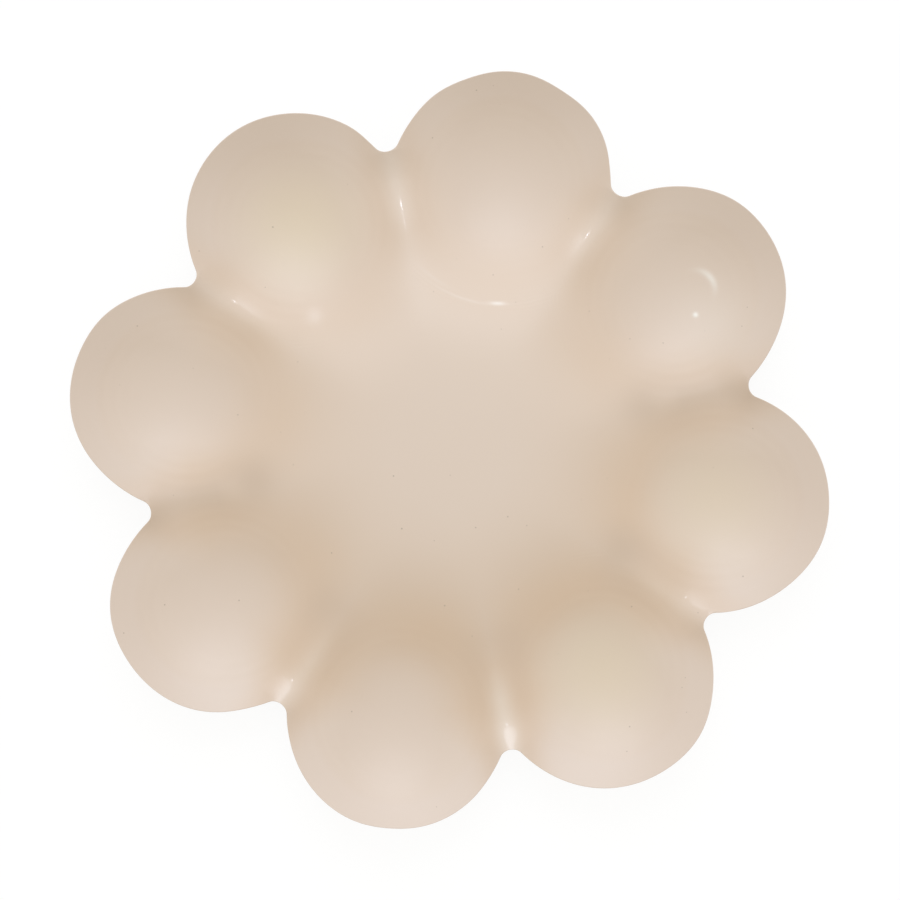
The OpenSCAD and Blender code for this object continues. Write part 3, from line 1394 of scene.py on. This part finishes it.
    def tones(self, tree: Tree, x: Term, y: Term, drift: Term) -> Tuple[List[Tuple[Layer, Term]], Term]:
        """Say where each tone of the glaze shows, and where the crests are glossy.

        Args:
            tree: The material's tree.
            x: X of each point in millimetres.
            y: Y of each point.
            drift: The slow drift of the glaze.

        Returns:
            Each tone with its mask, painted shade and painted highlights among them, and the mask of the
            glossy crests.
        """
        aside = self.mark(tree, Mark.ASIDE)
        upper = self.mark(tree, Mark.UPPER)
        distance = self.mark(tree, Mark.DISTANCE)
        bearing = self.mark(tree, Mark.BEARING)
        reach = length(x, y)
        # How far a place lies towards the lights.
        up = (x * self.toward_light_x + y * self.toward_light_y) / reach
        north = self.mark(tree, Mark.SIDE) * (x * self.toward_light_y - y * self.toward_light_x) / reach
        lie = up * up
        # 0 towards the lights and 1 away from them, so the painted shade is stronger where real shade falls.
        run = self.shade_side_run.of(up * reach)
        flow = self.slope_shade_distance.of(distance) * self.slope_shade_bearing.of(bearing)
        flank = self.flank_aside.of(aside) * self.flank_reach.of(reach)
        inner = self.inner_reach.of(reach) * self.inner_north.of(north) * self.inner_aside.of(aside)
        outer = self.outer_reach.of(reach) * self.outer_north.of(north) * self.outer_aside.of(aside)
        crest = self.crest_aside.of(aside) * upper
        past = self.crest_reach.of(reach)
        layers = [
            (self.pale, self.pale_drift.of(drift)),
            (self.thin, self.plate_shade_start.of(reach) * self.plate_shade_end.of(reach) * run),
            (self.flow, flow * drift.between(*self.slope_shade_drift) * run),
            (self.flank, flank * run.between(*self.flank_run)),
            (self.inner, inner * self.inner_up.of(up) * lie.between(*self.inner_lie) * upper),
            (self.outer, outer * self.outer_lie.of(lie) * upper),
            (self.bright, crest * past * self.bright_lie.of(lie) * up.between(*self.bright_up)),
            (self.rim, self.rim_distance.of(distance) * self.rim_bearing.of(bearing)),
            (self.yellow, self.mark(tree, Mark.TINT)),
        ]
        return layers, crest * past.smooth() * self.crest_lie.of(lie)

    def pools(self, x: Term, y: Term, upper: Term) -> Tuple[Term, Term, Term]:
        """Lay the drops of thick glaze.

        Args:
            x: X of each point in millimetres.
            y: Y of each point.
            upper: 1 on the face and 0 below.

        Returns:
            How glossy they are, how far they are painted white as painted highlights, and their height in
            millimetres.
        """
        totals = [x * 0.0] * 3
        for drip in self.drips:
            share = drip.share(x, y) * upper
            for index, amount in enumerate((drip.gloss, drip.white, drip.height)):
                totals[index] = totals[index] + share * amount
        return totals[0].clamp(), totals[1].clamp(), totals[2]


@dataclass(frozen=True)
class BareClay(Finish):
    """Unglazed clay of the ground feet."""

    body: Colour = (0.60, 0.50, 0.39)
    dark: Layer = Layer((0.47, 0.37, 0.27))
    speck: Layer = Layer((0.22, 0.16, 0.11), 0.7)
    drift_scale: float = 160.0
    ripple_scale: float = 1500.0
    speck_cells: float = 420.0
    speck_reach: float = 0.12
    rough: Span = (0.75, 0.95)
    grain_strength: float = 0.5
    grain_depth: float = 0.0004

    def material(self, groups: SurfaceGroups) -> Material:
        """Build the material.

        Args:
            groups: The shared shader groups.

        Returns:
            The material.
        """
        material, tree, shader, place = self.begin("bare_clay")
        scales = {"Place": place, "Drift Scale": self.drift_scale, "Ripple Scale": self.ripple_scale}
        uneven = add_node(tree, "ShaderNodeGroup", scales, node_tree=groups.unevenness)
        counts = {"Place": place, "Cells": self.speck_cells, "Reach": self.speck_reach}
        specks = add_node(tree, "ShaderNodeGroup", counts, node_tree=groups.specks)
        drift = Term(tree, uneven.outputs["Drift"])
        ripple = Term(tree, uneven.outputs["Ripple"])
        layers = [(self.dark, drift), (self.speck, Term(tree, specks.outputs["Mask"]))]
        plug(tree, self.paint(tree, self.body, layers), shader.inputs["Base Color"])
        plug(tree, ripple.between(*self.rough), shader.inputs["Roughness"])
        grain = {"Strength": self.grain_strength, "Distance": self.grain_depth, "Height": ripple}
        plug(tree, add_node(tree, "ShaderNodeBump", grain).outputs[0], shader.inputs["Normal"])
        return material


@dataclass(frozen=True)
class Studio:
    """White floor, even sky, a softbox, a small lamp and a camera that looks straight down."""

    turn: float = math.radians(10.95)
    rim_z: float = 0.0165
    pixel: float = 0.000344
    pixels: int = 900
    lens: float = 90.0
    sensor: float = 36.0
    key_off_vertical: float = math.radians(47.0)
    key_reach: float = 4.0
    key_size: float = 3.2
    key_power: float = 58.0
    key_colour: Colour = (0.905, 1.0, 1.17)
    lamp_off_vertical: float = math.radians(19.5)
    lamp_size: float = 0.12
    lamp_power: float = 3.2
    sky_level: float = 0.766
    sky_colour: Colour = (1.045, 1.0, 0.88)
    floor_half: float = 4.0
    floor_white: float = 0.93
    floor_glow: float = 1.02
    floor_glow_share: float = 0.9

    def camera(self) -> None:
        """Set a camera straight above the platter, turned as the platter lies in the picture."""
        data = bpy.data.cameras.new("camera")
        data.lens = self.lens
        data.sensor_width = self.sensor
        camera = new_thing("camera", data)
        height = self.pixel * self.pixels * self.lens / self.sensor
        camera.location = (0.0, 0.0, self.rim_z + height)
        camera.rotation_euler = (0.0, 0.0, self.turn)
        bpy.context.scene.camera = camera

    def disk_light(self, name: str, off_vertical: float, size: float, power: float) -> None:
        """Hang a round light towards the top of the picture.

        Args:
            name: Its name.
            off_vertical: Its angle from straight above.
            size: Its diameter in metres.
            power: Its power in watts.
        """
        data = bpy.data.lights.new(name, "AREA")
        data.shape = "DISK"
        data.size = size
        data.energy = power
        data.color = self.key_colour
        light = new_thing(name, data)
        up = Vector((-math.sin(self.turn), math.cos(self.turn), 0.0))
        towards = up * math.sin(off_vertical) + Vector((0.0, 0.0, math.cos(off_vertical)))
        light.location = towards * self.key_reach
        light.rotation_euler = towards.to_track_quat("Z", "Y").to_euler()

    @staticmethod
    def seen_directly(tree: Tree) -> Term:
        """Return 1 for rays from the camera and for mirrored or refracted ones, and 0 for the rest.

        Args:
            tree: The tree to add to.

        Returns:
            The mask.
        """
        path = add_node(tree, "ShaderNodeLightPath", {})
        seen = Term(tree, path.outputs["Is Camera Ray"])
        for name in ("Is Glossy Ray", "Is Transmission Ray"):
            seen = seen.most(Term(tree, path.outputs[name]))
        return seen

    def sky(self) -> None:
        """Light the scene evenly, and show white where the sky is seen."""
        world = bpy.data.worlds.new("sky")
        world.use_nodes = True
        tree = world.node_tree
        ground = find_node(tree, "BACKGROUND")
        seen = self.seen_directly(tree)
        plug(tree, Finish.paint(tree, self.sky_colour, [(Layer(WHITE), seen)]), ground.inputs["Color"])
        plug(tree, seen.between(self.sky_level, 1.0), ground.inputs["Strength"])
        bpy.context.scene.world = world

    def floor(self) -> None:
        """Lay the white floor."""
        half = self.floor_half
        corners = [(-half, -half, 0.0), (half, -half, 0.0), (half, half, 0.0), (-half, half, 0.0)]
        mesh = bpy.data.meshes.new("floor")
        mesh.from_pydata(corners, [], [(0, 1, 2, 3)])
        floor = new_thing("floor", mesh)
        material = bpy.data.materials.new("floor_white")
        material.use_nodes = True
        tree = material.node_tree
        tree.nodes.remove(find_node(tree, "BSDF_PRINCIPLED"))
        matt = add_node(tree, "ShaderNodeBsdfDiffuse", {"Color": (*[self.floor_white] * 3, 1.0)})
        glow = add_node(tree, "ShaderNodeEmission", {"Color": (*WHITE, 1.0), "Strength": self.floor_glow})
        mix = add_node(tree, "ShaderNodeMixShader", {})
        shares = (self.seen_directly(tree) * self.floor_glow_share, matt.outputs[0], glow.outputs[0])
        for value, slot in zip(shares, mix.inputs):
            plug(tree, value, slot)
        plug(tree, mix.outputs[0], find_node(tree, "OUTPUT_MATERIAL").inputs["Surface"])
        mesh.materials.append(material)

    def set_up(self) -> None:
        """Build the camera, the lights, the sky and the floor."""
        self.camera()
        self.disk_light("softbox", self.key_off_vertical, self.key_size, self.key_power)
        self.disk_light("lamp", self.lamp_off_vertical, self.lamp_size, self.lamp_power)
        self.sky()
        self.floor()
        bpy.context.scene.view_settings.view_transform = "Standard"


def clear_defaults() -> None:
    """Remove whatever the scene held before the frame was loaded."""
    kept = set(frame["nodes"].values()) | set(frame["bodies"].values())
    for item in list(bpy.data.objects):
        if item not in kept:
            bpy.data.objects.remove(item)


def main() -> None:
    """Build the platter and its studio."""
    logging.basicConfig(level=logging.INFO, format="%(name)s: %(message)s")
    clear_defaults()
    groups = SurfaceGroups()
    Platter().build(CreamGlaze().material(groups), BareClay().material(groups))
    Studio().set_up()


if __name__ == "__main__":
    main()
